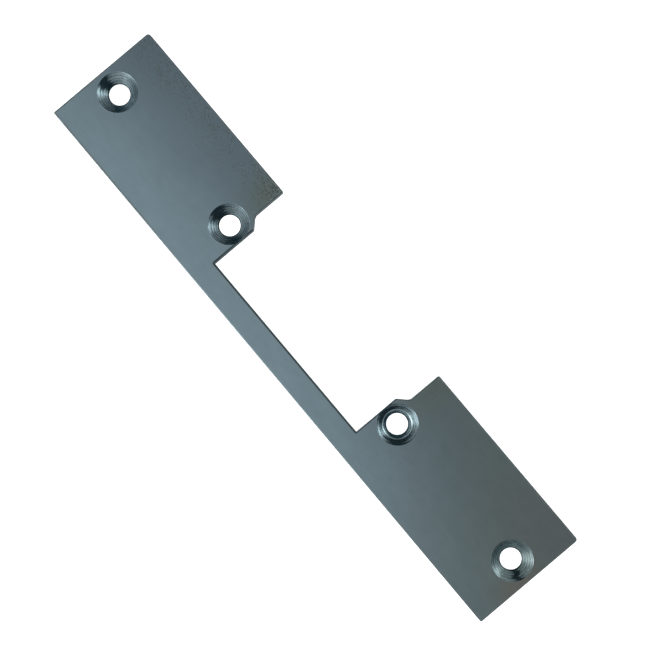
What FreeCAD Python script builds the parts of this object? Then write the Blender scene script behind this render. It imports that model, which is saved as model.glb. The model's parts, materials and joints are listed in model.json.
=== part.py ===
import FreeCAD, Part
import math
import os

import Sketcher

# Faceplate of an electric door strike: one flat steel plate with a notch in one long edge, where
# the strike's keeper and the door's latch bolt go, and four countersunk screw holes on its
# centre line.
#
# Frame, in millimetres: the plate lies on its back face, z = 0, and the origin is the middle of
# that face. +X runs along the length, +Y points to the notched long edge, and +Z out of the
# countersunk front face.

# Driving dimensions: the spreadsheet's alias, its value in mm or degrees, and what it measures.
DIMENSIONS = (
    ("plate_length", 201.6, "overall length, 7-15/16 in"),
    ("plate_width", 38.1, "overall width, 1-1/2 in"),
    ("plate_thickness", 3.2, "thickness of the steel, 1/8 in stock"),
    ("open_corner_radius", 1.0, "outer corners on the notched edge"),
    ("closed_corner_radius", 0.4, "outer corners on the plain edge"),
    ("strip_width", 8.05, "steel left between the plain edge and the notch's floor"),
    ("notch_inner_length", 67.0, "length of the notch at its floor"),
    ("notch_mouth_length", 73.2, "length of the notch at the notched edge"),
    ("shoulder_start", 23.65, "plain edge to where the notch's end walls begin to splay"),
    ("shoulder_angle", 45.0, "slope of the splayed stretch of each end wall"),
    ("frame_hole_spacing", 185.6, "between the outer pair of screw holes"),
    ("strike_hole_spacing", 79.4, "between the inner pair of screw holes, 3-1/8 in"),
    ("hole_diameter", 6.6, "clearance for an M6 or 1/4 in flat-head screw"),
    ("countersink_diameter", 12.7, "countersink at the front face, 1/2 in"),
    ("countersink_angle", 90.0, "full angle of the countersink"),
    ("edge_radius", 0.3, "tumbled edge all round the front and back faces"),
)
SHEET_NAME = "sizes"
NODE_NAME = "faceplate"
PARTS_FOLDER = "parts"

# Two lengths or volumes count as equal within these.
LENGTH_TOLERANCE = 1e-4
VOLUME_TOLERANCE = 0.02

# A sketch's own horizontal and vertical axes and its origin, as constraints name them.
X_AXIS = -1
Y_AXIS = -2
START = 1
END = 2
CENTRE = 3
ORIGIN = (X_AXIS, START)


def make_sheet(doc):
    """Fill the spreadsheet with the driving dimensions, one aliased cell to a row."""
    sheet = doc.addObject("Spreadsheet::Sheet", SHEET_NAME)
    for row, (alias, value, meaning) in enumerate(DIMENSIONS, start=1):
        sheet.set(f"A{row}", meaning)
        sheet.set(f"B{row}", str(value))
        sheet.setAlias(f"B{row}", alias)
    doc.recompute()
    return sheet


def origin_plane(body, role):
    """The body's own origin plane with this role, such as XY_Plane."""
    return next(item for item in body.Origin.OriginFeatures if item.Role == role)


def make_sketch(body, name, height=None):
    """An empty sketch parallel to the back face, raised to the height that an expression gives."""
    sketch = body.newObject("Sketcher::SketchObject", name)
    sketch.AttachmentSupport = [(origin_plane(body, "XY_Plane"), "")]
    sketch.MapMode = "FlatFace"
    if height:
        sketch.setExpression("AttachmentOffset.Base.z", height)
    return sketch


def add_outline(sketch, corners):
    """A closed run of straight lines: line i goes from corner i to the next corner."""
    points = [FreeCAD.Vector(x, y, 0) for x, y in corners]
    for start, end in zip(points, points[1:] + points[:1]):
        sketch.addGeometry(Part.LineSegment(start, end))
    count = len(points)
    for line in range(count):
        sketch.addConstraint(Sketcher.Constraint("Coincident", line, END, (line + 1) % count, START))


def add_size(sketch, name, expression, kind, *where):
    """A named driving dimension of the sketch, bound to the sheet, starting at its true value."""
    value = float(sketch.evalExpression(expression))
    if kind == "Angle":
        value = math.radians(value)
    index = sketch.addConstraint(Sketcher.Constraint(kind, *where, value))
    sketch.renameConstraint(index, name)
    sketch.setExpression(f"Constraints.{name}", expression)


def bind(feature, **expressions):
    """Bind a feature's properties to expressions on the sheet."""
    for name, expression in expressions.items():
        feature.setExpression(name, expression)


def check_sketch(sketch):
    """Stop unless the sketch is solved and nothing in it can still move."""
    if sketch.solve() != 0 or not sketch.FullyConstrained:
        raise RuntimeError(f"{sketch.Name} isn't fully constrained")


def check_removed(before, after, expected):
    """Stop unless a cut took away about the volume that it should."""
    removed = before.Shape.Volume - after.Shape.Volume
    if abs(removed - expected) > VOLUME_TOLERANCE * expected:
        raise RuntimeError(f"{after.Name} removed {removed:.2f} mm3, not about {expected:.2f}")


def add_blank(doc, body, sheet):
    """The blank: a rectangle of strip steel, centred on the origin."""
    half_length = sheet.plate_length / 2
    half_width = sheet.plate_width / 2
    sketch = make_sketch(body, "blank_outline")
    add_outline(
        sketch,
        (
            (-half_length, -half_width),
            (half_length, -half_width),
            (half_length, half_width),
            (-half_length, half_width),
        ),
    )
    plain_edge, far_end, notched_edge, near_end = range(4)
    sketch.addConstraint(Sketcher.Constraint("Horizontal", plain_edge))
    sketch.addConstraint(Sketcher.Constraint("Horizontal", notched_edge))
    sketch.addConstraint(Sketcher.Constraint("Vertical", far_end))
    sketch.addConstraint(Sketcher.Constraint("Vertical", near_end))
    sketch.addConstraint(
        Sketcher.Constraint("Symmetric", plain_edge, START, notched_edge, START, *ORIGIN)
    )
    add_size(sketch, "length", "sizes.plate_length", "DistanceX", plain_edge, START, plain_edge, END)
    add_size(sketch, "width", "sizes.plate_width", "DistanceY", far_end, START, far_end, END)
    doc.recompute()
    check_sketch(sketch)
    blank = body.newObject("PartDesign::Pad", "blank")
    blank.Profile = sketch
    bind(blank, Length="sizes.plate_thickness")
    doc.recompute()
    return blank


def upright_edges(shape, corners):
    """Names of the edges that stand along Z at these (x, y) corners."""
    names = []
    for number, edge in enumerate(shape.Edges, start=1):
        ends = [vertex.Point for vertex in edge.Vertexes]
        for x, y in corners:
            if all(math.hypot(end.x - x, end.y - y) < LENGTH_TOLERANCE for end in ends):
                names.append(f"Edge{number}")
    return names


def round_corners(doc, body, sheet, base, name, side, radius):
    """Round the two outer corners of the blank on one long edge: side is -1 plain or +1 notched."""
    x = sheet.plate_length / 2
    y = side * sheet.plate_width / 2
    fillet = body.newObject("PartDesign::Fillet", name)
    fillet.Base = (base, upright_edges(base.Shape, ((-x, y), (x, y))))
    bind(fillet, Radius=radius)
    doc.recompute()
    return fillet


def add_notch(doc, body, sheet, base):
    """Cut the notch: a flat floor, square end walls, then a splayed stretch up to a wider mouth."""
    half_inner = sheet.notch_inner_length / 2
    half_mouth = sheet.notch_mouth_length / 2
    floor_y = sheet.strip_width - sheet.plate_width / 2
    splay_y = sheet.shoulder_start - sheet.plate_width / 2
    splay = (half_mouth - half_inner) * math.tan(math.radians(sheet.shoulder_angle))
    sketch = make_sketch(body, "notch_outline")
    right_side = (
        (half_inner, floor_y),
        (half_inner, splay_y),
        (half_mouth, splay_y + splay),
        (half_mouth, sheet.plate_width),
    )
    left_side = tuple((-x, y) for x, y in reversed(right_side))
    add_outline(sketch, right_side + left_side)
    inner_wall, shoulder, mouth_wall, beyond, left_mouth, left_shoulder, left_inner, floor = range(8)
    sketch.addConstraint(Sketcher.Constraint("Vertical", inner_wall))
    sketch.addConstraint(Sketcher.Constraint("Vertical", mouth_wall))
    for right, left in (
        (inner_wall, floor),
        (shoulder, left_inner),
        (mouth_wall, left_shoulder),
        (beyond, left_mouth),
    ):
        sketch.addConstraint(Sketcher.Constraint("Symmetric", right, START, left, START, Y_AXIS))
    for name, expression, kind, *where in (
        ("inner_length", "sizes.notch_inner_length", "DistanceX", floor, START, floor, END),
        ("mouth_length", "sizes.notch_mouth_length", "DistanceX", beyond, END, beyond, START),
        ("drop", "sizes.plate_width / 2 - sizes.strip_width", "DistanceY", floor, END, *ORIGIN),
        ("rise", "sizes.shoulder_start - sizes.plate_width / 2", "DistanceY", *ORIGIN, shoulder, START),
        ("past_edge", "sizes.plate_width", "DistanceY", *ORIGIN, beyond, START),
        ("slope", "sizes.shoulder_angle", "Angle", shoulder),
    ):
        add_size(sketch, name, expression, kind, *where)
    doc.recompute()
    check_sketch(sketch)
    notch = body.newObject("PartDesign::Pocket", "notch")
    notch.Profile = sketch
    notch.Type = "ThroughAll"
    notch.Midplane = True
    doc.recompute()
    depth = sheet.plate_width - sheet.strip_width
    widening = sheet.plate_width - sheet.shoulder_start - splay / 2
    area = 2 * half_inner * depth + 2 * (half_mouth - half_inner) * widening
    check_removed(base, notch, area * sheet.plate_thickness)
    return notch


def break_edges(doc, body, sheet, base):
    """Round the edges all round the front and back faces, as tumbling leaves them."""
    names = []
    for number, edge in enumerate(base.Shape.Edges, start=1):
        heights = [vertex.Z for vertex in edge.Vertexes]
        for level in (0.0, sheet.plate_thickness):
            if all(abs(height - level) < LENGTH_TOLERANCE for height in heights):
                names.append(f"Edge{number}")
    rounding = body.newObject("PartDesign::Fillet", "broken_edges")
    rounding.Base = (base, names)
    bind(rounding, Radius="sizes.edge_radius")
    doc.recompute()
    return rounding


def add_screw_holes(doc, body, sheet, base, name, spacing):
    """Drill and countersink one pair of screw holes from the front face, on the centre line."""
    half_spacing = sheet.get(spacing) / 2
    sketch = make_sketch(body, f"{name}_centres", height="sizes.plate_thickness")
    for x in (-half_spacing, half_spacing):
        centre = FreeCAD.Vector(x, 0, 0)
        sketch.addGeometry(Part.Circle(centre, FreeCAD.Vector(0, 0, 1), sheet.hole_diameter / 2))
    first, second = range(2)
    sketch.addConstraint(Sketcher.Constraint("Symmetric", first, CENTRE, second, CENTRE, *ORIGIN))
    sketch.addConstraint(Sketcher.Constraint("PointOnObject", first, CENTRE, X_AXIS))
    sketch.addConstraint(Sketcher.Constraint("Equal", first, second))
    add_size(sketch, "spacing", f"sizes.{spacing}", "DistanceX", first, CENTRE, second, CENTRE)
    add_size(sketch, "bore", "sizes.hole_diameter", "Diameter", first)
    doc.recompute()
    check_sketch(sketch)
    holes = body.newObject("PartDesign::Hole", name)
    holes.Profile = sketch
    doc.recompute()
    holes.ThreadType = "None"
    holes.DepthType = "ThroughAll"
    holes.HoleCutType = "Countersink"
    bind(
        holes,
        Diameter="sizes.hole_diameter",
        HoleCutDiameter="sizes.countersink_diameter",
        HoleCutCountersinkAngle="sizes.countersink_angle",
    )
    doc.recompute()
    bore = sheet.hole_diameter / 2
    rim = sheet.countersink_diameter / 2
    sink = (rim - bore) / math.tan(math.radians(sheet.countersink_angle / 2))
    cone = math.pi * sink * (rim**2 + rim * bore + bore**2) / 3
    land = math.pi * bore**2 * (sheet.plate_thickness - sink)
    check_removed(base, holes, 2 * (cone + land))
    return holes


def build_faceplate(doc, sheet):
    """The whole faceplate as one body: blank, corners, notch, broken edges and screw holes."""
    body = doc.addObject("PartDesign::Body", NODE_NAME)
    body.Label = NODE_NAME
    body.Placement = FreeCAD.Placement()
    step = add_blank(doc, body, sheet)
    step = round_corners(doc, body, sheet, step, "open_corners", 1, "sizes.open_corner_radius")
    step = round_corners(doc, body, sheet, step, "closed_corners", -1, "sizes.closed_corner_radius")
    step = add_notch(doc, body, sheet, step)
    step = break_edges(doc, body, sheet, step)
    step = add_screw_holes(doc, body, sheet, step, "frame_screw_holes", "frame_hole_spacing")
    step = add_screw_holes(doc, body, sheet, step, "strike_screw_holes", "strike_hole_spacing")
    body.Tip = step
    doc.recompute()
    return body


def check_document(doc):
    """Stop if any object of the document failed to recompute."""
    for item in doc.Objects:
        if "Invalid" in item.State or "Error" in item.State:
            raise RuntimeError(f"{item.Name} is {item.State}")


def export(body):
    """Write the body's one solid to parts/, under the name in its label."""
    shape = body.Shape
    if shape.isNull() or not shape.isValid() or len(shape.Solids) != 1:
        raise RuntimeError(f"{body.Label} isn't one valid solid")
    os.makedirs(PARTS_FOLDER, exist_ok=True)
    shape.exportStep(os.path.join(PARTS_FOLDER, f"{body.Label}.step"))
    box = shape.optimalBoundingBox(False)
    print(f"{body.Label}: {box.XLength:.2f} x {box.YLength:.2f} x {box.ZLength:.2f} mm")
    print(f"volume {shape.Volume:.1f} mm3, {len(shape.Faces)} faces, lowest z {box.ZMin:.3f}")


def main():
    """Build the document and write its sub-part."""
    doc = FreeCAD.newDocument("strike_faceplate")
    sheet = make_sheet(doc)
    body = build_faceplate(doc, sheet)
    check_document(doc)
    export(body)


main()
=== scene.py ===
import json
import logging
import math
from dataclasses import dataclass, field, replace
from enum import Enum

import bpy
import numpy as np
from mathutils import Matrix, Vector
from mathutils.geometry import delaunay_2d_cdt


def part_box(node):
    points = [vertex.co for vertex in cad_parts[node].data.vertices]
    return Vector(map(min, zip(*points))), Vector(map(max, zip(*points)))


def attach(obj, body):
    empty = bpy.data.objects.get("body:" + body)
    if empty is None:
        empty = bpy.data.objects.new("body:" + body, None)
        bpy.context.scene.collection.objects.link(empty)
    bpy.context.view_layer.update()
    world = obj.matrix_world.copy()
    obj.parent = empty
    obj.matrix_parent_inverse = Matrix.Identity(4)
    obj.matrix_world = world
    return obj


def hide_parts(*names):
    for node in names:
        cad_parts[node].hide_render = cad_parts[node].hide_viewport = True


# Faceplate of an electric door strike: one zinc-plated steel plate, notched in one long edge, with
# four countersunk screw holes. Shapes are worked out in millimetres and go into the mesh in metres.
# +X is the plate's length, +Y points to the notched edge, and +Z out of the countersunk face.

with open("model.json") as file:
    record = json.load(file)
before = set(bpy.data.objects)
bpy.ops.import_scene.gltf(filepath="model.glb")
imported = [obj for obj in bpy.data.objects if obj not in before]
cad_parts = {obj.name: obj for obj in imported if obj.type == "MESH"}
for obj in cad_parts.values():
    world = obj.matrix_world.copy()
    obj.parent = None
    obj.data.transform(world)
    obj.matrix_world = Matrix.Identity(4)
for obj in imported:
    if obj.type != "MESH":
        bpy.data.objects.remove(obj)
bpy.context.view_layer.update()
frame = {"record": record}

MM = 0.001
NODE = "faceplate"
BODY = "root"
TURN = 2.0 * math.pi

# Names of the mesh's own attributes: millimetres in from the wall, 1 along a punched edge, and the
# painted reflection on a countersink, from 0 for painted shade to 1 for a painted highlight.
WALL_DISTANCE = "wall_distance"
PUNCHED = "punched"
PAINTED_SHEEN = "sheen"

Colour = tuple[float, float, float]
Grain = tuple[float, float, float]
Lobe = tuple[float, float, float]
Link = "Value | float | tuple | bpy.types.NodeSocket"

log = logging.getLogger("faceplate")


# ---------------------------------------------------------------------------------- shader maths


class Value:
    """A number or colour that shader nodes work out, with Python's own operators."""

    def __init__(self, bench: "Bench", socket: bpy.types.NodeSocket) -> None:
        """Keep the socket and the bench that it belongs to."""
        self.bench = bench
        self.socket = socket

    def __add__(self, other: Link) -> "Value":
        """This plus other."""
        return self.bench.math("ADD", self, other)

    def __sub__(self, other: Link) -> "Value":
        """This minus other."""
        return self.bench.math("SUBTRACT", self, other)

    def __mul__(self, other: Link) -> "Value":
        """This times other."""
        return self.bench.math("MULTIPLY", self, other)

    def __truediv__(self, other: Link) -> "Value":
        """This over other."""
        return self.bench.math("DIVIDE", self, other)

    def __radd__(self, other: float) -> "Value":
        """A number plus this."""
        return self.bench.math("ADD", other, self)

    def __rsub__(self, other: float) -> "Value":
        """A number minus this."""
        return self.bench.math("SUBTRACT", other, self)

    def __rmul__(self, other: float) -> "Value":
        """A number times this."""
        return self.bench.math("MULTIPLY", other, self)

    def __abs__(self) -> "Value":
        """The size of this, without its sign."""
        return self.bench.math("ABSOLUTE", self)


class Bench:
    """The node tree of a material or a world, and the few ways that nodes are added to it."""

    # The plate's shine where it is seen aslant, a little blue and less than a mirror's.
    EDGE_TINT: Colour = (0.46, 0.52, 0.55)

    def __init__(self, owner: bpy.types.Material | bpy.types.World) -> None:
        """Start with an empty tree.

        Args:
            owner: the material or world.
        """
        owner.use_nodes = True
        self.owner = owner
        self.tree = owner.node_tree
        self.tree.nodes.clear()

    def node(self, kind: str, settings: dict, links: dict) -> bpy.types.Node:
        """Add one node.

        Args:
            kind: the node's type.
            settings: what is set on the node itself first, with "stops" for a ramp's colours.
            links: a value or a link for each socket, by its name or number.

        Returns:
            The node.
        """
        node = self.tree.nodes.new(kind)
        for name, setting in settings.items():
            if name == "stops":
                self.set_stops(node.color_ramp, setting)
            else:
                setattr(node, name, setting)
        for name, link in links.items():
            self.feed(node.inputs[name], link)
        return node

    def feed(self, socket: bpy.types.NodeSocket, link: Link) -> None:
        """Link or set one input.

        Args:
            socket: the input.
            link: a Value, a socket, a number or a tuple of numbers.
        """
        if isinstance(link, Value):
            self.tree.links.new(link.socket, socket)
        elif isinstance(link, bpy.types.NodeSocket):
            self.tree.links.new(link, socket)
        elif isinstance(link, tuple) and socket.type == "RGBA":
            socket.default_value = (*link[:3], 1.0)
        else:
            socket.default_value = link

    @staticmethod
    def set_stops(ramp: bpy.types.ColorRamp, stops: tuple) -> None:
        """Give a ramp its stops.

        Args:
            ramp: the ramp.
            stops: (place, colour) pairs in order.
        """
        while len(ramp.elements) < len(stops):
            ramp.elements.new(1.0)
        for element, (place, colour) in zip(ramp.elements, stops):
            element.position = place
            element.color = (*colour, 1.0)

    def math(self, operation: str, *terms: Link) -> Value:
        """The result of one Math node on numbers."""
        links = dict(enumerate(terms))
        return Value(self, self.node("ShaderNodeMath", {"operation": operation}, links).outputs[0])

    def place(self) -> Value:
        """Where the shaded point is on the object, in metres."""
        return Value(self, self.node("ShaderNodeTexCoord", {}, {}).outputs["Object"])

    def parts(self, vector: Value) -> tuple[Value, Value, Value]:
        """A vector's x, y and z."""
        node = self.node("ShaderNodeSeparateXYZ", {}, {0: vector})
        return tuple(Value(self, node.outputs[k]) for k in range(3))

    def attribute(self, name: str) -> Value:
        """The mesh's own number of that name."""
        node = self.node("ShaderNodeAttribute", {"attribute_name": name}, {})
        return Value(self, node.outputs["Fac"])

    def band(self, value: Link, low: float, high: float) -> Value:
        """A mask that goes from 0 at low to 1 at high, eased at both ends.

        Args:
            value: what the mask follows.
            low: where it is 0; it may be above high, for a mask that falls.
            high: where it is 1.

        Returns:
            The mask.
        """
        ends = (high, low, 1.0, 0.0) if low > high else (low, high, 0.0, 1.0)
        links = dict(enumerate((value, *ends)))
        settings = {"interpolation_type": "SMOOTHSTEP", "clamp": True}
        return Value(self, self.node("ShaderNodeMapRange", settings, links).outputs[0])

    def noise(self, grain: Grain, detail: float, rough: float) -> Value:
        """Cloudy noise about 0.5.

        Args:
            grain: the lumps' size along x, y and z in mm.
            detail: octaves.
            rough: how strong the finer octaves are.

        Returns:
            The noise.
        """
        scale = tuple(1.0 / (size * MM) for size in grain)
        settings = {"vector_type": "POINT"}
        mapping = self.node("ShaderNodeMapping", settings, {0: self.place(), "Scale": scale})
        links = {"Vector": mapping.outputs[0], "Scale": 1.0, "Detail": detail, "Roughness": rough}
        node = self.node("ShaderNodeTexNoise", {"noise_dimensions": "3D"}, links)
        return Value(self, node.outputs["Fac"])

    def blend(self, share: Link, first: Link, second: Link, mode: str = "MIX") -> Value:
        """One colour laid over another.

        Args:
            share: how much of the second colour shows, from 0 to 1.
            first: the colour under it.
            second: the colour on top.
            mode: how the two combine, MIX or MULTIPLY.

        Returns:
            The colour.
        """
        links = {"Factor": share, 6: first, 7: second}
        settings = {"data_type": "RGBA", "blend_type": mode}
        return Value(self, self.node("ShaderNodeMix", settings, links).outputs[2])

    def tint(self, colour: Link, amount: Value) -> Value:
        """A colour times a number that varies over the surface.

        Args:
            colour: the colour.
            amount: the number.

        Returns:
            The product.
        """
        grey = self.node("ShaderNodeCombineXYZ", {}, {0: amount, 1: amount, 2: amount})
        settings = {"operation": "MULTIPLY"}
        node = self.node("ShaderNodeVectorMath", settings, {0: colour, 1: grey.outputs[0]})
        return Value(self, node.outputs[0])

    def bump(self, height: Value, depth: float, strength: float) -> bpy.types.NodeSocket:
        """A bumped normal.

        Args:
            height: the height, from 0 to 1.
            depth: what 1 stands for in mm.
            strength: how much of it shows.

        Returns:
            The normal.
        """
        links = {"Height": height, "Distance": depth * MM, "Strength": strength}
        return self.node("ShaderNodeBump", {}, links).outputs[0]

    def finish(self, colour: Link, metal: Link, rough: Link, normal: Link) -> bpy.types.Material:
        """Close the tree with the surface shader.

        Args:
            colour: its colour.
            metal: how metallic it is.
            rough: its roughness.
            normal: its bumped normal.

        Returns:
            The material.
        """
        links = {"Base Color": colour, "Metallic": metal, "Roughness": rough, "Normal": normal}
        links |= {"Specular Tint": self.EDGE_TINT}
        shader = self.node("ShaderNodeBsdfPrincipled", {}, links)
        self.node("ShaderNodeOutputMaterial", {}, {"Surface": shader.outputs[0]})
        return self.owner


# --------------------------------------------------------------------------------------- finishes


class Zone(Enum):
    """Which finish a face of the plate has: its number is the material slot's."""

    FACE = 0
    WALL = 1
    SINK = 2


@dataclass(frozen=True)
class FacePlan:
    """What the face's finish follows at a point: its place, and four noises about 0.5."""

    x: Value
    y: Value
    along: Value
    across: Value
    cloud: Value
    blotch: Value
    grain: Value
    streak: Value

    @classmethod
    def on(cls, bench: Bench, half_length: float, half_width: float) -> "FacePlan":
        """Lay the place and the noises out on a bench.

        Args:
            bench: the material's bench.
            half_length: half the plate's length in mm, where along is 1.
            half_width: half its width in mm, where across is 1.

        Returns:
            The plan, with x and y in mm.
        """
        x, y, _ = bench.parts(bench.place())
        return cls(
            x / MM,
            y / MM,
            x / (half_length * MM),
            y / (half_width * MM),
            bench.noise((26.0, 17.0, 20.0), 3.0, 0.55),
            bench.noise((4.5, 3.0, 4.0), 3.0, 0.6),
            bench.noise((0.62, 0.50, 0.6), 2.0, 0.6),
            bench.noise((14.0, 0.16, 1.0), 2.0, 0.55),
        )


@dataclass(frozen=True)
class PlatedFace:
    """Dull zinc plate over rolled steel, blue-grey, with the grain and stains of handling."""

    # Plain and notched sides: own tone with painted light and shade.
    plain_side_tone_and_light: Colour = (0.252, 0.343, 0.389)
    notched_side_tone_and_shade: Colour = (0.151, 0.204, 0.235)
    far_end: Colour = (0.157, 0.198, 0.191)
    olive: Colour = (0.146, 0.184, 0.164)
    # Dark specks, and the painted shade line by one end's edge.
    stain_and_edge_shade: Colour = (0.090, 0.099, 0.084)
    # Painted shade on the rolled edges.
    rolled_edge_shade: Colour = (0.025, 0.037, 0.037)
    warm: Colour = (0.157, 0.163, 0.161)
    tan: Colour = (0.196, 0.184, 0.148)
    # Pale specks, and the painted highlight band inside the rolled edges.
    pale_speck_and_edge_highlight: Colour = (0.270, 0.312, 0.324)
    green_share: float = 0.80
    olive_share: float = 0.70
    warm_share: float = 0.65
    smudge_share: float = 0.60
    corner_share: float = 0.42
    edge_shade_share: float = 0.60
    highlight_share: float = 0.45
    highlight_middle: float = 0.45
    highlight_spread: float = 0.16
    metal: float = 0.92
    roughness: float = 0.34
    half_width: float = 19.05
    half_length: float = 100.8
    mouth_x: float = 38.0
    mouth_y: float = 18.0

    def plate(self, bench: Bench, plan: FacePlan) -> Value:
        """The plate's colour: its own tint, and painted light and shade across it.

        Args:
            bench: the material's bench.
            plan: the place and the noises.

        Returns:
            The colour.
        """
        # Own tone with painted light and shade: lighter on the plain side, darker on the notched
        # side.
        tilt = plan.across + (plan.cloud - 0.5) * 1.1
        colour = bench.blend(bench.band(tilt, -1.0, 1.0), self.plain_side_tone_and_light, self.notched_side_tone_and_shade)
        green = bench.band(plan.along + tilt * 0.22, 0.10, 0.95)
        colour = bench.blend(green * self.green_share, colour, self.far_end)
        mouth = bench.band(abs(plan.x), 50.0, self.mouth_x) * bench.band(plan.y, 0.0, 14.0)
        patch = bench.band(plan.blotch + mouth * 0.3, 0.35, 0.70)
        colour = bench.blend(mouth * patch * self.olive_share, colour, self.olive)

        slant = plan.across - plan.along * 0.4
        warm = bench.band(plan.along, 0.62, 1.0) * bench.band(slant, -0.9, 0.5)
        warm = warm * bench.band(plan.cloud, 0.2, 0.6)
        colour = bench.blend(warm * self.warm_share, colour, self.warm)
        middle = bench.band(abs(plan.across + 0.15) + plan.cloud * 0.4, 0.8, 0.3)
        smudge = bench.band(plan.along, 0.90, 0.99) * middle
        return bench.blend(smudge * self.smudge_share, colour, self.tan)

    def corner(self, bench: Bench, plan: FacePlan) -> Value:
        """Where the corner beside the notch's mouth is stained.

        Args:
            bench: the material's bench.
            plan: the place and the noises.

        Returns:
            The mask, 1 where the staining is worst.
        """
        side_x, side_y = plan.x + self.mouth_x, plan.y - self.mouth_y
        reach = bench.math("SQRT", side_x * side_x + side_y * side_y)
        return bench.band(reach + (plan.blotch - 0.5) * 9.0, 9.5, 2.0)

    def stained(self, bench: Bench, plan: FacePlan, corner: Value, colour: Value) -> Value:
        """The colour with its specks, thickest by the notched edge of one end and at the corner.

        Args:
            bench: the material's bench.
            plan: the place and the noises.
            corner: the mask of the stained corner.
            colour: the plate's colour.

        Returns:
            The colour.
        """
        near_edge = bench.band(plan.across, 0.15, 1.0) * bench.band(plan.along, 0.10, -0.30)
        patchy = (plan.blotch - 0.5) * 0.45
        dark = bench.band(plan.grain + patchy, 0.50, 0.66)
        pale = bench.band(plan.grain - patchy, 0.40, 0.28)
        colour = bench.blend(corner * self.corner_share, colour, self.olive)
        colour = bench.blend(dark * (0.05 + near_edge * 0.44 + corner * 0.50), colour, self.stain_and_edge_shade)
        return bench.blend(pale * (near_edge * 0.10 + corner * 0.30), colour, self.pale_speck_and_edge_highlight)

    def edged(self, bench: Bench, plan: FacePlan, corner: Value, colour: Value) -> Value:
        """The colour with its edge: a painted shade line at one end, and a painted highlight band
        inside the roll.

        Args:
            bench: the material's bench.
            plan: the place and the noises.
            corner: the mask of the stained corner.
            colour: the stained colour, with the painted shade of the roll on it.

        Returns:
            The colour.
        """
        distance = bench.attribute(WALL_DISTANCE)
        # Painted shade: a dark line just inside the edge at the -X end, on the plain side.
        line = bench.band(distance, 0.75, 0.35) * bench.band(plan.along, -0.30, -0.65)
        line = line * bench.band(plan.across, 0.5, -0.5) * bench.band(plan.blotch, 0.25, 0.50)
        colour = bench.blend(line * self.edge_shade_share, colour, self.stain_and_edge_shade)
        # Painted highlight: a light band where the flat meets the roll, strongest as a glint by the
        # corner.
        middle = bench.attribute(PUNCHED) * 0.25 + self.highlight_middle
        rim = bench.band(abs(distance - middle), self.highlight_spread, 0.0)
        rim = rim * bench.band(plan.blotch, 0.35, 0.65)
        return bench.blend(rim * (self.highlight_share + corner * 0.40), colour, self.pale_speck_and_edge_highlight)

    def material(self) -> bpy.types.Material:
        """The finish as a material.

        Returns:
            The material.
        """
        bench = Bench(bpy.data.materials.new("plated_face"))
        plan = FacePlan.on(bench, self.half_length, self.half_width)
        corner = self.corner(bench, plan)
        colour = self.stained(bench, plan, corner, self.plate(bench, plan))
        punched = bench.attribute(PUNCHED)
        # Painted shade on the rolled edges, darkest along the punched edges; the roll is also
        # rougher.
        rolled = bench.band(bench.attribute(WALL_DISTANCE) - punched * 0.32, 0.28, 0.12)
        colour = bench.blend(rolled * (punched * 0.22 + 0.70), colour, self.rolled_edge_shade)
        colour = self.edged(bench, plan, corner, colour)

        fall = bench.band(plan.along, -0.05, 0.60) * 0.12 + bench.band(plan.along, -0.72, -1.0) * 0.07
        mottle = plan.cloud * 0.22 + plan.blotch * 0.12
        fine = (plan.grain - 0.5) * 0.16 + (plan.streak - 0.5) * 0.10
        shade = 0.80 - fall + mottle + fine
        spread = (plan.blotch - 0.5) * 0.14 + (plan.streak - 0.5) * 0.12
        rough = self.roughness + spread + rolled * 0.08
        relief = plan.grain * 0.55 + plan.streak * 0.30 + plan.blotch * 0.15
        normal = bench.bump(relief, 0.02, 0.35)
        return bench.finish(bench.tint(colour, shade), self.metal, rough, normal)


@dataclass(frozen=True)
class ShearedWall:
    """The cut wall of the plate: a burnished stretch under the front, then torn grain."""

    burnished: Colour = (0.108, 0.135, 0.144)
    torn: Colour = (0.063, 0.075, 0.077)
    oxide: Colour = (0.019, 0.026, 0.026)
    break_height: float = 1.75
    break_width: float = 0.24
    break_wander: float = 1.6
    oxide_share: float = 0.85
    torn_roughness: float = 0.58
    metal: float = 0.90

    def material(self) -> bpy.types.Material:
        """The finish as a material.

        Returns:
            The material.
        """
        bench = Bench(bpy.data.materials.new("sheared_wall"))
        _, _, z = bench.parts(bench.place())
        wander = bench.noise((1.6, 1.6, 30.0), 3.0, 0.6)
        lines = bench.noise((0.20, 0.20, 4.0), 3.0, 0.6)
        pits = bench.noise((0.35, 0.35, 0.5), 3.0, 0.65)
        limit = z / MM + (wander - 0.5) * self.break_wander
        half = self.break_width / 2
        cut = bench.band(limit, self.break_height - half, self.break_height + half)
        rugged = 1.0 - cut
        colour = bench.blend(cut, self.torn, self.burnished)
        colour = bench.blend(bench.attribute(PUNCHED) * self.oxide_share, colour, self.oxide)
        shade = 0.72 + lines * 0.32 + (pits - 0.5) * 0.35 * rugged
        rough = self.torn_roughness - cut * 0.20 + (lines - 0.5) * 0.15
        normal = bench.bump(lines * 0.5 + pits * rugged * 0.8, 0.06, 0.55)
        return bench.finish(bench.tint(colour, shade), self.metal, rough, normal)


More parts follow.
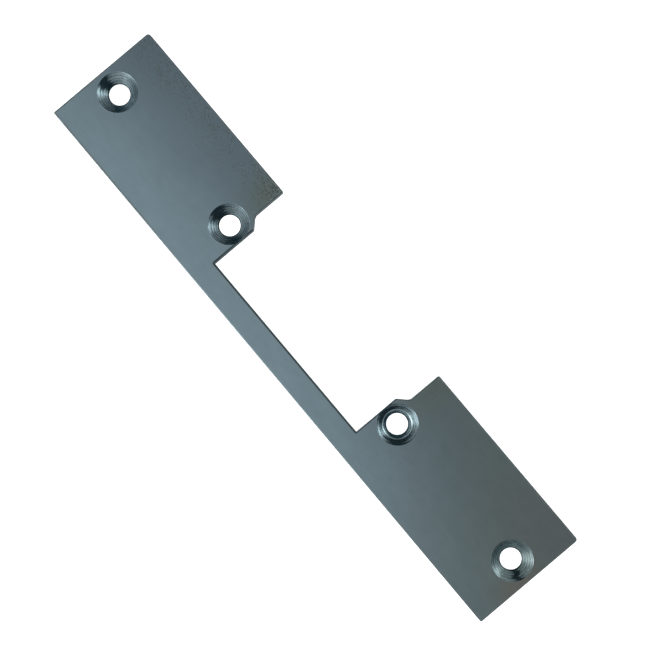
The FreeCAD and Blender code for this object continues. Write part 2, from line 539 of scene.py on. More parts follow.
@dataclass(frozen=True)
class TurnedSink:
    """The countersinks, plated over each cutter's rings and chatter, with painted light and shade."""

    # Painted highlight, middle tone, a tint towards +X, and painted shade.
    painted_bright: Colour = (0.324, 0.414, 0.441)
    middling: Colour = (0.156, 0.214, 0.236)
    yellowed: Colour = (1.00, 0.98, 0.92)
    painted_dark: Colour = (0.014, 0.028, 0.034)
    groove_pitch: float = 0.66
    hairline_pitch: float = 0.37
    # Painted shade at the bore's edge: where it starts and how strong it is.
    bore_shade_reach: tuple[float, float] = (3.50, 3.32)
    bore_shade_share: float = 0.7
    yellow_reach: tuple[float, float] = (30.0, 95.0)
    roughness: float = 0.30

    def material(self, centres: tuple[float, ...]) -> bpy.types.Material:
        """The finish as a material.

        Args:
            centres: how far out the two holes on each side are, in mm.

        Returns:
            The material.
        """
        bench = Bench(bpy.data.materials.new("turned_countersink"))
        x, y, _ = bench.parts(bench.place())
        gaps = [abs(x) - centre * MM for centre in centres]
        reach = [bench.math("SQRT", gap * gap + y * y) for gap in gaps]
        radius = bench.math("MINIMUM", *reach) / MM
        blotch = bench.noise((1.5, 1.5, 1.2), 3.0, 0.65)
        fleck = bench.noise((0.45, 0.45, 0.45), 2.0, 0.6)

        # Grooves and hairlines round each hole, thrown a little out of true by the blotches.
        wander = blotch * 5.5
        rings = bench.math("SINE", radius * (TURN / self.groove_pitch) + wander) * 0.5 + 0.5
        hairs = bench.math("SINE", radius * (TURN / self.hairline_pitch) + wander * 2.0) * 0.5 + 0.5
        # Painted light and shade from the mesh, with the rings as painted highlight lines, and random
        # mottle.
        sheen = bench.attribute(PAINTED_SHEEN)
        lines = rings * 0.6 + hairs * 0.4 - 0.5
        mottle = (blotch - 0.5) * 0.40 + (fleck - 0.5) * 0.40
        level = sheen + lines * (sheen * 0.80 + 0.16) + mottle
        colour = bench.blend(bench.band(level, 0.05, 0.42), self.painted_dark, self.middling)
        colour = bench.blend(bench.band(level, 0.42, 0.95), colour, self.painted_bright)
        far = bench.band(x / MM, *self.yellow_reach)
        colour = bench.blend(far, colour, self.yellowed, "MULTIPLY")
        # Painted shade: the cone darkens at the bore, where it drops into the hole.
        bore = bench.band(radius, *self.bore_shade_reach)
        colour = bench.blend(bore * self.bore_shade_share, colour, self.painted_dark)
        rough = self.roughness + (1.0 - sheen) * 0.15 + (fleck - 0.5) * 0.12
        return bench.finish(colour, 1.0, rough, bench.bump(rings * 0.4 + hairs * 0.6, 0.012, 0.5))


# ------------------------------------------------------------------------------------ plate shape


@dataclass(frozen=True)
class Stations:
    """Points round the outline, and what carries each of them inwards.

    At an inset d a station lies at start + d * inward. Round an outer corner of radius R that
    holds up to d = R, and past it the station is on the corner's mitre: corner + d * mitre.
    """

    start: np.ndarray
    inward: np.ndarray
    limit: np.ndarray
    corner: np.ndarray
    mitre: np.ndarray
    roll: np.ndarray
    punched: np.ndarray

    def inset(self, depth: np.ndarray) -> np.ndarray:
        """The stations moved inwards.

        Args:
            depth: how far each one moves, in mm.

        Returns:
            Their new places.
        """
        plain = self.start + depth[:, None] * self.inward
        mitred = self.corner + depth[:, None] * self.mitre
        return np.where((depth > self.limit)[:, None], mitred, plain)

    def nearest_wall(self, points: np.ndarray) -> tuple[np.ndarray, np.ndarray]:
        """Distance from each point to the outline, which is straight between stations.

        A point's foot on a side from a to b is a + t (b - a), with t kept between 0 and 1, and
        its distance is the least over all the sides.

        Args:
            points: points in the plan, in mm.

        Returns:
            The distances, and the number of each nearest side's first station.
        """
        side = np.roll(self.start, -1, axis=0) - self.start
        square = np.maximum((side**2).sum(axis=1), 1e-12)
        far, which = [], []
        for block in in_blocks(points):
            gap = block[:, None, :] - self.start[None, :, :]
            foot = np.clip((gap * side).sum(axis=2) / square, 0.0, 1.0)
            reach = np.hypot(*np.moveaxis(gap - foot[:, :, None] * side, 2, 0))
            first = reach.argmin(axis=1)
            which.append(first)
            far.append(reach[np.arange(len(block)), first])
        return np.concatenate(far), np.concatenate(which)

    def holds(self, points: np.ndarray) -> np.ndarray:
        """Which points are inside: a ray to +X from one of those crosses an odd number of sides.

        The ray at height y crosses the side from a to b where one end is above y and the other
        isn't, and the point is left of a.x + (y - a.y) (b.x - a.x) / (b.y - a.y).

        Args:
            points: points in the plan, in mm.

        Returns:
            True for those inside.
        """
        (ax, ay), (bx, by) = self.start.T, np.roll(self.start, -1, axis=0).T
        rise = np.where(by == ay, 1.0, by - ay)
        inside = []
        for block in in_blocks(points):
            x, y = block[:, :1], block[:, 1:]
            spans = (ay > y) != (by > y)
            crossed = spans & (x < ax + (y - ay) * (bx - ax) / rise)
            inside.append(crossed.sum(axis=1) % 2 == 1)
        return np.concatenate(inside)


def in_blocks(points: np.ndarray) -> list[np.ndarray]:
    """The points in blocks of about 2000, to keep the tables of points by sides small."""
    return np.array_split(points, max(1, len(points) // 2000))


@dataclass(frozen=True)
class Outline:
    """The plate's outline: a rectangle with a notch in its +Y edge, in millimetres."""

    length: float
    width: float
    strip_width: float = 8.05
    notch_inner_length: float = 67.0
    notch_mouth_length: float = 73.2
    shoulder_start: float = 23.65
    open_corner_radius: float = 1.0
    closed_corner_radius: float = 0.4
    mouth_corner_radius: float = 0.3
    notch_corner_radius: float = 0.12
    edge_roll: float = 0.30
    punched_roll: float = 0.56
    long_step: float = 1.4
    short_step: float = 0.30
    corner_steps: int = 9

    def corners(self) -> tuple[np.ndarray, np.ndarray, np.ndarray, np.ndarray]:
        """The outline's corners, anticlockwise from the low right one.

        Returns:
            The corners, each one's radius, and for the side after each how punched its edge is,
            from 0 to 1, and the longest step along it.
        """
        end, top = self.length / 2, self.width / 2
        inner, mouth = self.notch_inner_length / 2, self.notch_mouth_length / 2
        floor = self.strip_width - top
        low = self.shoulder_start - top
        high = low + (mouth - inner)
        plain, open_ = self.closed_corner_radius, self.open_corner_radius
        lip, nook = self.mouth_corner_radius, self.notch_corner_radius
        wide, fine = self.long_step, self.short_step
        right = [
            (end, -top, plain, 0.0, wide),
            (end, top, open_, 0.0, wide),
            (mouth, top, lip, 0.10, fine),
            (mouth, high, nook, 0.15, fine),
            (inner, low, lip, 0.45, fine),
            (inner, floor, nook, 1.0, wide),
        ]
        left = [(-x, y, radius) for x, y, radius, _, _ in reversed(right)]
        after = [(0.85, fine), (0.15, fine), (0.10, fine), (0.0, wide), (0.0, wide), (0.0, wide)]
        rows = np.array(right + [(*corner, *side) for corner, side in zip(left, after)])
        return rows[:, :2], rows[:, 2], rows[:, 3], rows[:, 4]

    def stations(self) -> Stations:
        """The outline's stations: each corner's arc, then points along the side after it.

        With unit normals n1 and n2 to the sides at a corner, inwards, the mitre is
        (n1 + n2) / (1 + n1.n2). An outer corner's arc is corner + R mitre - R n, and an inner
        one's is corner - R mitre + R n, as n turns from n1 to n2.

        Returns:
            The stations, anticlockwise.
        """
        corner, radius, punched, step = self.corners()
        side = np.roll(corner, -1, axis=0) - corner
        side /= np.linalg.norm(side, axis=1)[:, None]
        after = np.stack([-side[:, 1], side[:, 0]], axis=1)
        before = np.roll(after, 1, axis=0)
        mitre = (before + after) / (1.0 + (before * after).sum(axis=1))[:, None]
        angle = np.arctan2(before[:, 1], before[:, 0])
        cross = before[:, 0] * after[:, 1] - before[:, 1] * after[:, 0]
        turn = np.arctan2(cross, (before * after).sum(axis=1))
        sign = np.sign(turn)
        share = np.linspace(0.0, 1.0, self.corner_steps)
        swept = angle[:, None] + turn[:, None] * share
        normal = np.stack([np.cos(swept), np.sin(swept)], axis=2)
        centre = corner + (sign * radius)[:, None] * mitre
        arc = centre[:, None, :] - (sign * radius)[:, None, None] * normal
        rows = []
        for k in range(len(corner)):
            start, stop = arc[k, -1], arc[(k + 1) % len(corner), 0]
            count = max(2, math.ceil(np.linalg.norm(stop - start) / step[k]))
            along = np.linspace(0.0, 1.0, count + 1)[1:-1, None]
            straight = start + along * (stop - start)
            here = np.concatenate([arc[k], straight])
            inward = np.concatenate([normal[k], np.repeat(after[k][None], len(straight), axis=0)])
            on_arc = np.arange(len(here)) < self.corner_steps
            limit = np.where(on_arc & (sign[k] > 0), radius[k], np.inf)
            cut = np.full(len(here), punched[k])
            cut[: self.corner_steps] = punched[k - 1] + (punched[k] - punched[k - 1]) * share
            roll = self.edge_roll + cut * (self.punched_roll - self.edge_roll)
            ends = np.tile(np.concatenate([corner[k], mitre[k]]), (len(here), 1))
            rows.append(np.column_stack([here, inward, limit, ends, roll, cut]))
        here, inward, limit, corners, mitres, roll, cut = np.split(
            np.concatenate(rows), (2, 4, 5, 7, 9, 10), axis=1
        )
        return Stations(here, inward, limit[:, 0], corners, mitres, roll[:, 0], cut[:, 0])


@dataclass(frozen=True)
class Countersink:
    """One countersunk hole, in millimetres.

    The stages give the depth under the face by radius. A lobe is a middle and a spread in
    degrees, and a band a middle and a spread in millimetres of radius. The third number of each
    is how much lighter the painted reflection on the cone is there; below 0 it is painted shade.
    """

    x: float
    y: float = 0.0
    bore_radius: float = 3.3
    rim_radius: float = 6.35
    stages: tuple[tuple[float, float], ...] = ((3.3, 3.05), (6.35, 0.0))
    ring_pitch: float = 0.65
    ring_height: float = 0.018
    ring_start: float = 0.0
    swing: float = 0.0
    # The painted reflection: a middling value, with lobes and bands of painted light and shade.
    painted_brightness: float = 0.48
    lobes: tuple[Lobe, ...] = ()
    # Painted shade just outside the bore, and a painted highlight at the rim.
    bands: tuple[Lobe, ...] = ((3.40, 0.22, -0.30), (6.20, 0.22, 0.10))
    burr_height: float = 0.022
    burr_width: float = 0.16
    ring_fade: float = 0.3
    sides: int = 144
    rings_per_pitch: int = 8

    def radii(self) -> np.ndarray:
        """The circles that carry the shape, from the bore out past the burr.

        Returns:
            Their radii in mm.
        """
        pitches = (self.rim_radius - self.bore_radius) / self.ring_pitch
        count = math.ceil(pitches * self.rings_per_pitch)
        cone = np.linspace(self.bore_radius, self.rim_radius, count + 1)
        burr = self.rim_radius + self.burr_width * np.array([0.25, 0.5, 0.75, 1.0, 1.6])
        return np.concatenate([cone, burr])

    def circles(self) -> np.ndarray:
        """Points on the circles, centre + r (cos a, sin a).

        Returns:
            The points in mm, by circle and by side.
        """
        angle = np.linspace(0.0, TURN, self.sides, endpoint=False)
        ring = np.stack([np.cos(angle), np.sin(angle)], axis=1)
        return np.array([self.x, self.y]) + self.radii()[:, None, None] * ring

    def polar(self, points: np.ndarray) -> tuple[np.ndarray, np.ndarray]:
        """Each point's distance from the hole's axis, and its angle round it in radians."""
        offset = points - np.array([self.x, self.y])
        return np.hypot(offset[:, 0], offset[:, 1]), np.arctan2(offset[:, 1], offset[:, 0])

    def depth(self, points: np.ndarray) -> np.ndarray:
        """How far under the face the countersink lies at each point; less than 0 on the burr.

        The depth runs straight between the stages. The cutter's rings take a height
        h (0.5 + 0.5 cos(2 pi (r - start) / pitch)) off it, faded out at the bore and at the rim
        and stronger on two opposite sides. Outside the rim the burr rises as
        -b sin(pi s)^2, with s from 0 to 1 across its width.

        Args:
            points: points in the plan, in mm.

        Returns:
            The depths in mm.
        """
        radius, angle = self.polar(points)
        stage_radius, stage_depth = np.array(self.stages).T
        depth = np.interp(radius, stage_radius, stage_depth)
        wobble = 0.10 * np.sin(angle * 2.0 + self.swing)
        wobble += 0.05 * np.sin(angle * 5.0 + 2.0 * self.swing)
        ring = 0.5 + 0.5 * np.cos(TURN * (radius - self.ring_start + wobble) / self.ring_pitch)
        fade = np.clip((radius - self.bore_radius) / self.ring_fade, 0.0, 1.0)
        fade = fade * np.clip((self.rim_radius - radius) / self.ring_fade, 0.0, 1.0)
        strength = 0.75 + 0.25 * np.cos(2.0 * (angle - self.swing))
        depth = depth - self.ring_height * ring * fade * strength
        across = np.clip((radius - self.rim_radius) / self.burr_width, 0.0, 1.0)
        burr = self.burr_height * np.sin(math.pi * across) ** 2
        return np.where(radius < self.rim_radius, depth, -burr)

    def sheen(self, points: np.ndarray) -> np.ndarray:
        """The painted reflection on the cone, from 0 for painted shade to 1 for a painted highlight.

        Each lobe adds strength exp(-(gap / spread)^2) to a middling value, where gap is the
        angle from the lobe's middle. Its middle drifts a little with the radius, in waves.
        Each band adds the same along the radius.

        Args:
            points: points in the plan, in mm.

        Returns:
            The brightness.
        """
        radius, angle = self.polar(points)
        angle = np.degrees(angle)
        drift = 5.0 * np.sin(TURN * radius / 1.9 + self.swing)
        painted_bright = np.full(len(points), self.painted_brightness)
        for middle, spread, strength in self.lobes:
            gap = (angle + drift - middle + 180.0) % 360.0 - 180.0
            painted_bright += strength * np.exp(-((gap / spread) ** 2))
        for middle, spread, strength in self.bands:
            painted_bright += strength * np.exp(-(((radius - middle) / spread) ** 2))
        return np.clip(painted_bright, 0.0, 1.0)

    def holds(self, points: np.ndarray) -> np.ndarray:
        """Which points lie over the open bore."""
        return self.polar(points)[0] < self.bore_radius - 0.01


class MeshBook:
    """Points and faces of one mesh as they are worked out, and each face's finish."""

    def __init__(self) -> None:
        """Start with nothing."""
        self.points: list[np.ndarray] = []
        self.faces: list[np.ndarray] = []
        self.zones: list[np.ndarray] = []
        self.count = 0

    def add_points(self, points: np.ndarray) -> np.ndarray:
        """Add points.

        Args:
            points: their places in mm.

        Returns:
            Their numbers in the mesh.
        """
        self.points.append(points)
        self.count += len(points)
        return np.arange(self.count - len(points), self.count)

    def add_faces(self, corners: np.ndarray, zones: np.ndarray) -> None:
        """Add faces.

        Args:
            corners: one row of point numbers for each face, anticlockwise from outside.
            zones: each face's zone, by number.
        """
        self.faces.append(corners)
        self.zones.append(zones)

    def mesh(self, name: str) -> bpy.types.Mesh:
        """The finished mesh, in metres, shaded smooth.

        Args:
            name: its name.

        Returns:
            The mesh.
        """
        mesh = bpy.data.meshes.new(name)
        points = np.concatenate(self.points) * MM
        faces = [row for block in self.faces for row in block.tolist()]
        mesh.from_pydata(points.tolist(), [], faces)
        mesh.polygons.foreach_set("material_index", np.concatenate(self.zones).astype(np.int32))
        mesh.polygons.foreach_set("use_smooth", np.ones(len(faces), bool))
        mesh.update()
        return mesh


def triangulate(points: np.ndarray, edges: np.ndarray) -> tuple[np.ndarray, np.ndarray]:
    """Fill the hull of some points with triangles that keep to the given edges.

    Args:
        points: points in the plan, in mm.
        edges: pairs of point numbers that stay edges; where two cross, a point is added.

    Returns:
        The points, in the given order where none are added or merged, and the triangles,
        anticlockwise.
    """
    flat = [Vector(pair) for pair in points.tolist()]
    found = delaunay_2d_cdt(flat, edges.tolist(), [], 0, 1e-5, True)
    places = np.array([tuple(v) for v in found[0]])
    triangles = np.array(found[2])
    order = np.array([sources[0] if sources else -1 for sources in found[3]])
    if len(places) == len(points) and (np.sort(order) == np.arange(len(points))).all():
        triangles = order[triangles]
        places = points
    a, b, c = (places[triangles[:, k]] for k in range(3))
    turn = (b - a)[:, 0] * (c - a)[:, 1] - (b - a)[:, 1] * (c - a)[:, 0]
    triangles[turn < 0.0] = triangles[turn < 0.0][:, ::-1]
    return places, triangles


def loop_edges(rows: int, columns: int, first: int = 0) -> np.ndarray:
    """Edges round each row of a grid of points whose rows are closed loops.

    Args:
        rows: how many loops there are.
        columns: how many points each has.
        first: the first point's number.

    Returns:
        Pairs of point numbers.
    """
    number = first + np.arange(rows * columns).reshape(rows, columns)
    return np.stack([number.ravel(), np.roll(number, -1, axis=1).ravel()], axis=1)


def border(triangles: np.ndarray) -> np.ndarray:
    """The edges that only one triangle has, in that triangle's direction.

    Args:
        triangles: rows of three point numbers.

    Returns:
        Pairs of point numbers.
    """
    edges = np.concatenate([triangles[:, [0, 1]], triangles[:, [1, 2]], triangles[:, [2, 0]]])
    size = triangles.max() + 1
    forward = edges[:, 0] * size + edges[:, 1]
    backward = edges[:, 1] * size + edges[:, 0]
    return edges[~np.isin(forward, backward)]


@dataclass(frozen=True)
class Front:
    """The front as built, with what is known at each of its points.

    Lengths are in mm: plan is the points seen from above, height is over the back, and distance
    is to the wall. The numbers are the points' numbers in the mesh.
    """

    plan: np.ndarray
    triangles: np.ndarray
    numbers: np.ndarray
    height: np.ndarray
    distance: np.ndarray
    punched: np.ndarray


@dataclass(frozen=True)
class Rim:
    """The front's border, from which the walls and the bores drop.

    picked says which of the front's points it has, and inward which way the back's rolled edge
    of radius roll turns in under each. nearest is each one's nearest station.
    """

    picked: np.ndarray
    edges: np.ndarray
    start: np.ndarray
    inward: np.ndarray
    roll: np.ndarray
    nearest: np.ndarray
    in_bore: np.ndarray


@dataclass
class StrikeFaceplate:
    """The whole plate: front with its rolled edges and countersinks, walls, bores and back."""

    length: float
    width: float
    thickness: float
    outer_hole: float
    inner_hole: float
    bore_radius: float
    face_drop: float = 0.025
    wear_width: float = 1.2
    support: float = 0.08
    roll_steps: int = 6
    back_roll: float = 0.25
    bore_roll: float = 0.04
    wall_levels: tuple[float, ...] = (0.05, 0.30, 0.55, 0.80, 0.95)
    # The painted reflection given to every point off the front; it shows in the bores.
    hidden_painted_sheen: float = 0.3
    crease: float = 32.0
    face: PlatedFace = field(default_factory=PlatedFace)
    wall: ShearedWall = field(default_factory=ShearedWall)
    sink: TurnedSink = field(default_factory=TurnedSink)

    @classmethod
    def from_frame(cls) -> "StrikeFaceplate":
        """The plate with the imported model's sizes and hole places.

        Returns:
            The plate, not yet built.
        """
        low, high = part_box(NODE)
        size = [(high[k] - low[k]) / MM for k in range(3)]
        mounts = {mount["name"]: mount["dims"] for mount in frame["record"]["mounts"]}
        outer, inner = mounts["frame_screw_holes"], mounts["strike_screw_holes"]
        spacings = (outer["spacing_x_mm"], inner["spacing_x_mm"])
        return cls(*size, spacings[0] / 2, spacings[1] / 2, outer["hole_r_mm"])

    def countersinks(self) -> tuple[Countersink, ...]:
        """The four holes from -X to +X, each with its own cutter's rings and its own painted
        reflection.

        Returns:
            The holes.
        """
        # In each hole the lobes and bands paint light and shade: above 0 a painted highlight, below 0
        # painted shade.
        first = Countersink(
            -self.outer_hole,
            swing=0.4,
            ring_start=0.1,
            ring_height=0.009,
            lobes=(
                (193, 22, -0.62),
                (322, 46, -0.42),
                (232, 24, -0.10),
                (130, 26, 0.20),
                (45, 30, -0.16),
            ),
        )
        second = Countersink(
            -self.inner_hole,
            swing=1.1,
            ring_start=0.25,
            ring_height=0.016,
            painted_brightness=0.45,
            lobes=((184, 34, -0.50), (334, 46, -0.40), (236, 24, -0.10), (110, 30, 0.14)),
        )
        third = Countersink(
            self.inner_hole,
            stages=((self.bore_radius, 3.05), (4.25, 1.55), (4.50, 1.42), (6.35, 0.0)),
            painted_brightness=0.44,
            swing=2.2,
            ring_height=0.022,
            bands=((3.65, 0.30, -0.30), (4.42, 0.14, 0.42), (5.15, 0.40, -0.16), (6.2, 0.2, 0.04)),
            lobes=((190, 56, -0.34), (322, 42, -0.42), (62, 26, 0.06), (264, 16, 0.06)),
        )
        fourth = Countersink(
            self.outer_hole,
            swing=2.9,
            ring_pitch=0.52,
            ring_start=0.3,
            ring_height=0.024,
            painted_brightness=0.44,
            lobes=((338, 15, -0.46), (190, 62, -0.26), (50, 26, 0.22), (285, 24, 0.14)),
        )
        holes = (first, second, third, fourth)
        return tuple(replace(hole, bore_radius=self.bore_radius) for hole in holes)

    def front_depth(self, points: np.ndarray, stations: Stations) -> tuple[np.ndarray, ...]:
        """How far the front lies under the flat of the face.

        The rolled edge is a quarter circle of radius R: at a distance d from the wall it lies
        R - sqrt(R^2 - (R - d)^2) under the face, for d up to R. Where a countersink is deeper
        the countersink shows.

        Args:
            points: points in the plan, in mm.
            stations: the outline.

        Returns:
            The depths, the distances to the wall, how punched the wall is there, and whether
            the countersink shows.
        """
        distance, nearest = stations.nearest_wall(points)
        roll = stations.roll[nearest]
        inner = np.clip(roll - distance, 0.0, roll)
        edge = roll - np.sqrt(roll**2 - inner**2)
        sinks = np.stack([hole.depth(points) for hole in self.countersinks()])
        deepest = sinks.max(axis=0)
        in_sink = (deepest > edge) & (deepest > 0.0)
        depth = np.where(in_sink, deepest, edge)
        depth = np.where((edge == 0.0) & (deepest <= 0.0), sinks.min(axis=0), depth)
        return depth, distance, stations.punched[nearest], in_sink

    def plan(self, stations: Stations) -> tuple[np.ndarray, np.ndarray]:
        """The front's points and the edges it keeps, seen from above.

        The rolled edge's loops lie at insets R (1 - sin p), as p falls from a right angle to 0,
        then one loop holds the flat flat and one ends the worn band. The holes add circles.

        Args:
            stations: the outline.

        Returns:
            The points in mm, and pairs of their numbers.
        """
        angle = np.linspace(math.pi / 2, 0.0, self.roll_steps)
        rolled = stations.roll * (1.0 - np.sin(angle))[:, None]
        flat = [stations.roll + self.support, np.full(len(stations.roll), self.wear_width)]
        loops = np.stack([stations.inset(row) for row in np.concatenate([rolled, flat])])
        points = [loops.reshape(-1, 2)]
        edges = [loop_edges(*loops.shape[:2])]
        count = len(points[0])
        for hole in self.countersinks():
            circles = hole.circles()
            kept = loop_edges(*circles.shape[:2], first=count).reshape(*circles.shape)
            rim = int(np.searchsorted(hole.radii(), hole.rim_radius - 1e-6))
            edges += [kept[0], kept[rim]]
            points.append(circles.reshape(-1, 2))
            count += len(points[-1])
        return np.concatenate(points), np.concatenate(edges)

    def in_steel(self, points: np.ndarray, stations: Stations) -> np.ndarray:
        """Which points of the plan are over steel.

        Args:
            points: points in the plan, in mm.
            stations: the outline.

        Returns:
            True for those over steel.
        """
        open_ = np.any([hole.holds(points) for hole in self.countersinks()], axis=0)
        return stations.holds(points) & ~open_

    def front(self, book: MeshBook, stations: Stations) -> Front:
        """Add the front, whose height over the back is thickness - drop - depth.

        Args:
            book: the mesh's book.
            stations: the outline.

        Returns:
            The front.
        """
        plan, triangles = triangulate(*self.plan(stations))
        triangles = triangles[self.in_steel(plan[triangles].mean(axis=1), stations)]
        used, triangles = np.unique(triangles, return_inverse=True)
        triangles = triangles.reshape(-1, 3)
        plan = plan[used]
        depth, distance, punched, _ = self.front_depth(plan, stations)
        height = self.thickness - self.face_drop - depth
        numbers = book.add_points(np.column_stack([plan, height]))
        in_sink = self.front_depth(plan[triangles].mean(axis=1), stations)[3]
        book.add_faces(numbers[triangles], np.where(in_sink, Zone.SINK.value, Zone.FACE.value))
        return Front(plan, triangles, numbers, height, distance, punched)

    def rim(self, front: Front, stations: Stations) -> Rim:
        """Find the front's border and which way each of its points turns in at the back.

        In a bore that is (p - c) / |p - c|, away from the hole's axis c, and at the outline it
        is the nearest station's own way in.

        Args:
            front: the front.
            stations: the outline.

        Returns:
            The rim.
        """
        picked, edges = np.unique(border(front.triangles), return_inverse=True)
        start = front.plan[picked]
        away = start[:, None, :] - stations.start
        nearest = np.hypot(away[:, :, 0], away[:, :, 1]).argmin(axis=1)
        offset = start[:, None, :] - self.hole_places()
        reach = np.hypot(offset[:, :, 0], offset[:, :, 1])
        outward = offset[np.arange(len(start)), reach.argmin(axis=1)] / reach.min(axis=1)[:, None]
        in_bore = stations.nearest_wall(start)[0] > 0.05
        inward = np.where(in_bore[:, None], outward, stations.inward[nearest])
        roll = np.where(in_bore, self.bore_roll, self.back_roll)
        return Rim(picked, edges.reshape(-1, 2), start, inward, roll, nearest, in_bore)

    def walls(self, book: MeshBook, front: Front, rim: Rim) -> list[np.ndarray]:
        """Drop the walls and bores from the rim to the back, as a grid of levels.

        A wall's level lies at h + (R - h) s for each share s. Then the back's rolled edge, a
        quarter circle, moves in by R (1 - cos a) at the height R (1 - sin a).

        Args:
            book: the mesh's book.
            front: the front.
            rim: its border.

        Returns:
            The point numbers of each level, the front's own first.
        """
        height = front.height[rim.picked]
        levels = [front.numbers[rim.picked]]
        for share in self.wall_levels:
            drop = height + (rim.roll - height) * share
            levels.append(book.add_points(np.column_stack([rim.start, drop])))
        for angle in np.linspace(0.0, math.pi / 2, self.roll_steps):
            moved = rim.start + rim.inward * (rim.roll * (1.0 - math.cos(angle)))[:, None]
            drop = rim.roll * (1.0 - math.sin(angle))
            levels.append(book.add_points(np.column_stack([moved, drop])))
        i, j = rim.edges.T
        zone = np.where(rim.in_bore[i], Zone.SINK.value, Zone.WALL.value)
        for upper, lower in zip(levels, levels[1:]):
            book.add_faces(np.stack([lower[i], lower[j], upper[j], upper[i]], axis=1), zone)
        return levels

    def back(self, book: MeshBook, rim: Rim, last: np.ndarray, stations: Stations) -> None:
        """Fill the last level's border with the flat back.

        A triangle is kept where its middle is over steel, by the full outline and the bores.
        The border lies R inside those, so at the bores and the notch's corners some thin
        triangles past the border are kept too.

        Args:
            book: the mesh's book.
            rim: the front's border, which the last level follows R further in.
            last: the last level's point numbers.
            stations: the outline.
        """
        base = rim.start + rim.inward * rim.roll[:, None]
        _, triangles = triangulate(base, rim.edges)
        triangles = triangles[self.in_steel(base[triangles].mean(axis=1), stations)]
        book.add_faces(last[triangles][:, ::-1], np.full(len(triangles), Zone.FACE.value))

    def hole_places(self) -> np.ndarray:
        """The holes' axes in the plan, in mm."""
        return np.array([[hole.x, hole.y] for hole in self.countersinks()])

    def mark(self, mesh: bpy.types.Mesh, front: Front, cut_below: np.ndarray) -> None:
        """Give the mesh the numbers that the finishes follow.

        Args:
            mesh: the mesh, whose first points are the front's.
            front: the front.
            cut_below: how punched the edge is over each of the other points.
        """
        shown = len(front.plan)
        far = np.full(shown + len(cut_below), self.wear_width)
        far[:shown] = np.minimum(front.distance, self.wear_width)
        # Each front point takes the painted reflection of its nearest hole.
        painted_bright = np.full(len(far), self.hidden_painted_sheen)
        offset = front.plan[:, None, :] - self.hole_places()
        hole = np.hypot(offset[:, :, 0], offset[:, :, 1]).argmin(axis=1)
        painted_sheens = np.stack([sink.sheen(front.plan) for sink in self.countersinks()])
        painted_bright[:shown] = painted_sheens[hole, np.arange(shown)]
        self.give(mesh, WALL_DISTANCE, far)
        self.give(mesh, PUNCHED, np.concatenate([front.punched, cut_below]))
        self.give(mesh, PAINTED_SHEEN, painted_bright)

    def build(self) -> bpy.types.Object:
        """Build the plate as one mesh: the front, the walls and bores, and the back.

        Returns:
            The object.
        """
        stations = Outline(self.length, self.width).stations()
        book = MeshBook()
        front = self.front(book, stations)
        rim = self.rim(front, stations)
        levels = self.walls(book, front, rim)
        self.back(book, rim, levels[-1], stations)
        mesh = book.mesh("strike_faceplate")
        self.mark(mesh, front, np.tile(stations.punched[rim.nearest], len(levels) - 1))
        mesh.set_sharp_from_angle(angle=math.radians(self.crease))
        plate = bpy.data.objects.new("strike_faceplate", mesh)
        bpy.context.scene.collection.objects.link(plate)
        return plate

    @staticmethod
    def give(mesh: bpy.types.Mesh, name: str, values: np.ndarray) -> None:
        """Store one number for each point of the mesh under a name."""
        attribute = mesh.attributes.new(name, "FLOAT", "POINT")
        attribute.data.foreach_set("value", values.astype(np.float32))

    def dress(self, plate: bpy.types.Object) -> None:
        """Give the plate its three finishes, in the order of the zones' numbers.

        Args:
            plate: the plate.
        """
        plate.data.materials.append(self.face.material())
        plate.data.materials.append(self.wall.material())
        plate.data.materials.append(self.sink.material((self.inner_hole, self.outer_hole)))

    def make(self) -> bpy.types.Object:
        """Build the plate, dress it and tie it to the model.

        Returns:
            The object.
        """
        plate = self.build()
        self.dress(plate)
        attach(plate, BODY)
        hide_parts(NODE)
        return plate


# ----------------------------------------------------------------------------------------- studio


@dataclass(frozen=True)
class Softbox:
    """A square lamp that faces the plate, in metres, degrees and watts."""

    name: str
    azimuth: float
    elevation: float
    distance: float
    size: float
    power: float

    def make(self) -> bpy.types.Object:
        """Hang the lamp and aim it at the middle of the plate.

        Returns:
            The lamp.
        """
        turn, rise = math.radians(self.azimuth), math.radians(self.elevation)
        flat = math.cos(rise)
        way = Vector((math.cos(turn) * flat, math.sin(turn) * flat, math.sin(rise)))
        data = bpy.data.lights.new(self.name, "AREA")
        data.shape = "SQUARE"
        data.size = self.size
        data.energy = self.power
        lamp = bpy.data.objects.new(self.name, data)
        lamp.location = way * self.distance
        lamp.rotation_mode = "QUATERNION"
        lamp.rotation_quaternion = way.to_track_quat("Z", "Y")
        bpy.context.scene.collection.objects.link(lamp)
        return lamp


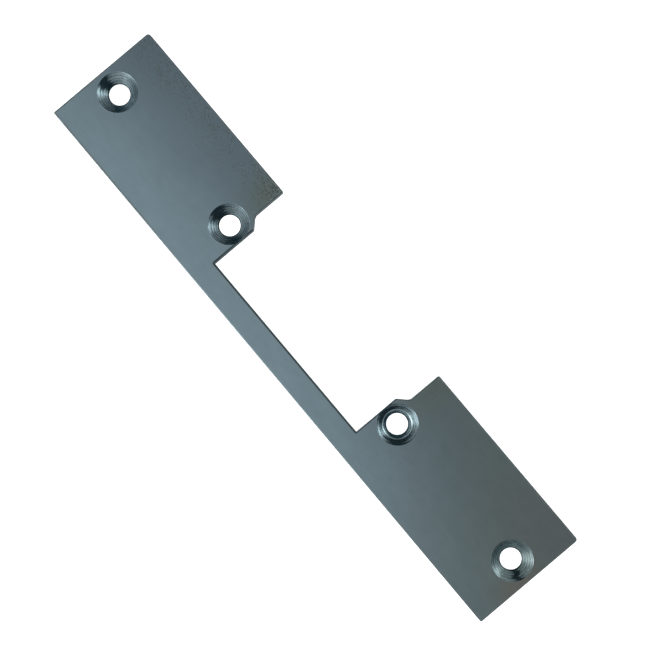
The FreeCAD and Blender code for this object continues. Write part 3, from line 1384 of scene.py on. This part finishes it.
@dataclass
class Studio:
    """The floor, the soft light round it and the camera over it, in metres."""

    floor_size: float = 6.0
    floor_gap: float = 0.0002
    floor_glow: float = 0.85
    floor_colour: Colour = (0.86, 0.86, 0.86)
    floor_roughness: float = 0.9
    zenith: Colour = (0.575, 0.583, 0.592)
    horizon: Colour = (0.700, 0.708, 0.717)
    camera_place: tuple[float, float, float] = (0.01563, -0.00068, 0.30549)
    camera_aim: tuple[float, float, float] = (0.00493, 0.00109, 0.0032)
    camera_roll: float = -49.856
    lens: float = 53.892
    sensor: float = 36.0
    lamps: tuple[Softbox, ...] = (
        Softbox("key_softbox", 255.0, 36.0, 1.4, 0.9, 11.7),
        Softbox("fill_softbox", 66.0, 16.0, 1.5, 0.6, 7.5),
    )

    def floor(self) -> bpy.types.Object:
        """Lay a wide pale floor just under the plate, lit a little from itself, clear from below.

        Returns:
            The floor.
        """
        half = self.floor_size / 2
        corner = np.array([[-half, -half], [half, -half], [half, half], [-half, half]])
        points = np.column_stack([corner, np.full(4, -self.floor_gap)])
        mesh = bpy.data.meshes.new("floor")
        mesh.from_pydata(points.tolist(), [], [(0, 1, 2, 3)])
        floor = bpy.data.objects.new("floor", mesh)
        bench = Bench(bpy.data.materials.new("pale_floor"))
        paint = {"Base Color": self.floor_colour, "Roughness": self.floor_roughness}
        glow = {"Emission Color": (1.0, 1.0, 1.0), "Emission Strength": self.floor_glow}
        shader = bench.node("ShaderNodeBsdfPrincipled", {}, paint | glow)
        under = bench.node("ShaderNodeNewGeometry", {}, {}).outputs["Backfacing"]
        clear = bench.node("ShaderNodeBsdfTransparent", {}, {})
        sides = {0: under, 1: shader.outputs[0], 2: clear.outputs[0]}
        surface = bench.node("ShaderNodeMixShader", {}, sides).outputs[0]
        bench.node("ShaderNodeOutputMaterial", {}, {"Surface": surface})
        mesh.materials.append(bench.owner)
        bpy.context.scene.collection.objects.link(floor)
        return floor

    def sky(self) -> None:
        """Light the scene softly from all round, less from the zenith than from the horizon."""
        world = bpy.data.worlds.new("studio")
        bench = Bench(world)
        coordinates = bench.node("ShaderNodeTexCoord", {}, {})
        way = Value(bench, coordinates.outputs["Generated"])
        _, _, height = bench.parts(way)
        colour = bench.blend(bench.band(height, 0.05, 0.80), self.horizon, self.zenith)
        glow = bench.node("ShaderNodeBackground", {}, {0: colour, 1: 1.0})
        bench.node("ShaderNodeOutputWorld", {}, {"Surface": glow.outputs[0]})
        bpy.context.scene.world = world

    def camera(self) -> bpy.types.Object:
        """The camera over the plate, rolled so that the plate lies across the frame.

        Its backward axis z points from the aim to its place. The plate's length, made square to
        z, stands at the angle camera_roll in the frame, and that gives the axes right and up.

        Returns:
            The camera.
        """
        place, aim = Vector(self.camera_place), Vector(self.camera_aim)
        back = (place - aim).normalized()
        length = Vector((1.0, 0.0, 0.0))
        length = (length - length.dot(back) * back).normalized()
        roll = math.radians(self.camera_roll)
        right = math.cos(roll) * length - math.sin(roll) * back.cross(length)
        up = back.cross(right)
        data = bpy.data.cameras.new("camera")
        data.sensor_width = self.sensor
        data.lens = self.lens
        data.clip_start = 0.01
        camera = bpy.data.objects.new("camera", data)
        camera.rotation_mode = "QUATERNION"
        camera.location = place
        camera.rotation_quaternion = Matrix((right, up, back)).transposed().to_quaternion()
        bpy.context.scene.collection.objects.link(camera)
        bpy.context.scene.camera = camera
        return camera

    def make(self) -> None:
        """Set up the whole studio."""
        self.floor()
        self.sky()
        for lamp in self.lamps:
            lamp.make()
        self.camera()
        bpy.context.scene.view_settings.view_transform = "Standard"


def main() -> None:
    """Build the plate and its studio."""
    logging.basicConfig(level=logging.INFO, format="%(name)s: %(message)s")
    plate = StrikeFaceplate.from_frame().make()
    mesh = plate.data
    log.info("%s: %d points, %d faces", plate.name, len(mesh.vertices), len(mesh.polygons))
    Studio().make()
    log.info("studio ready")


if __name__ == "__main__":
    main()
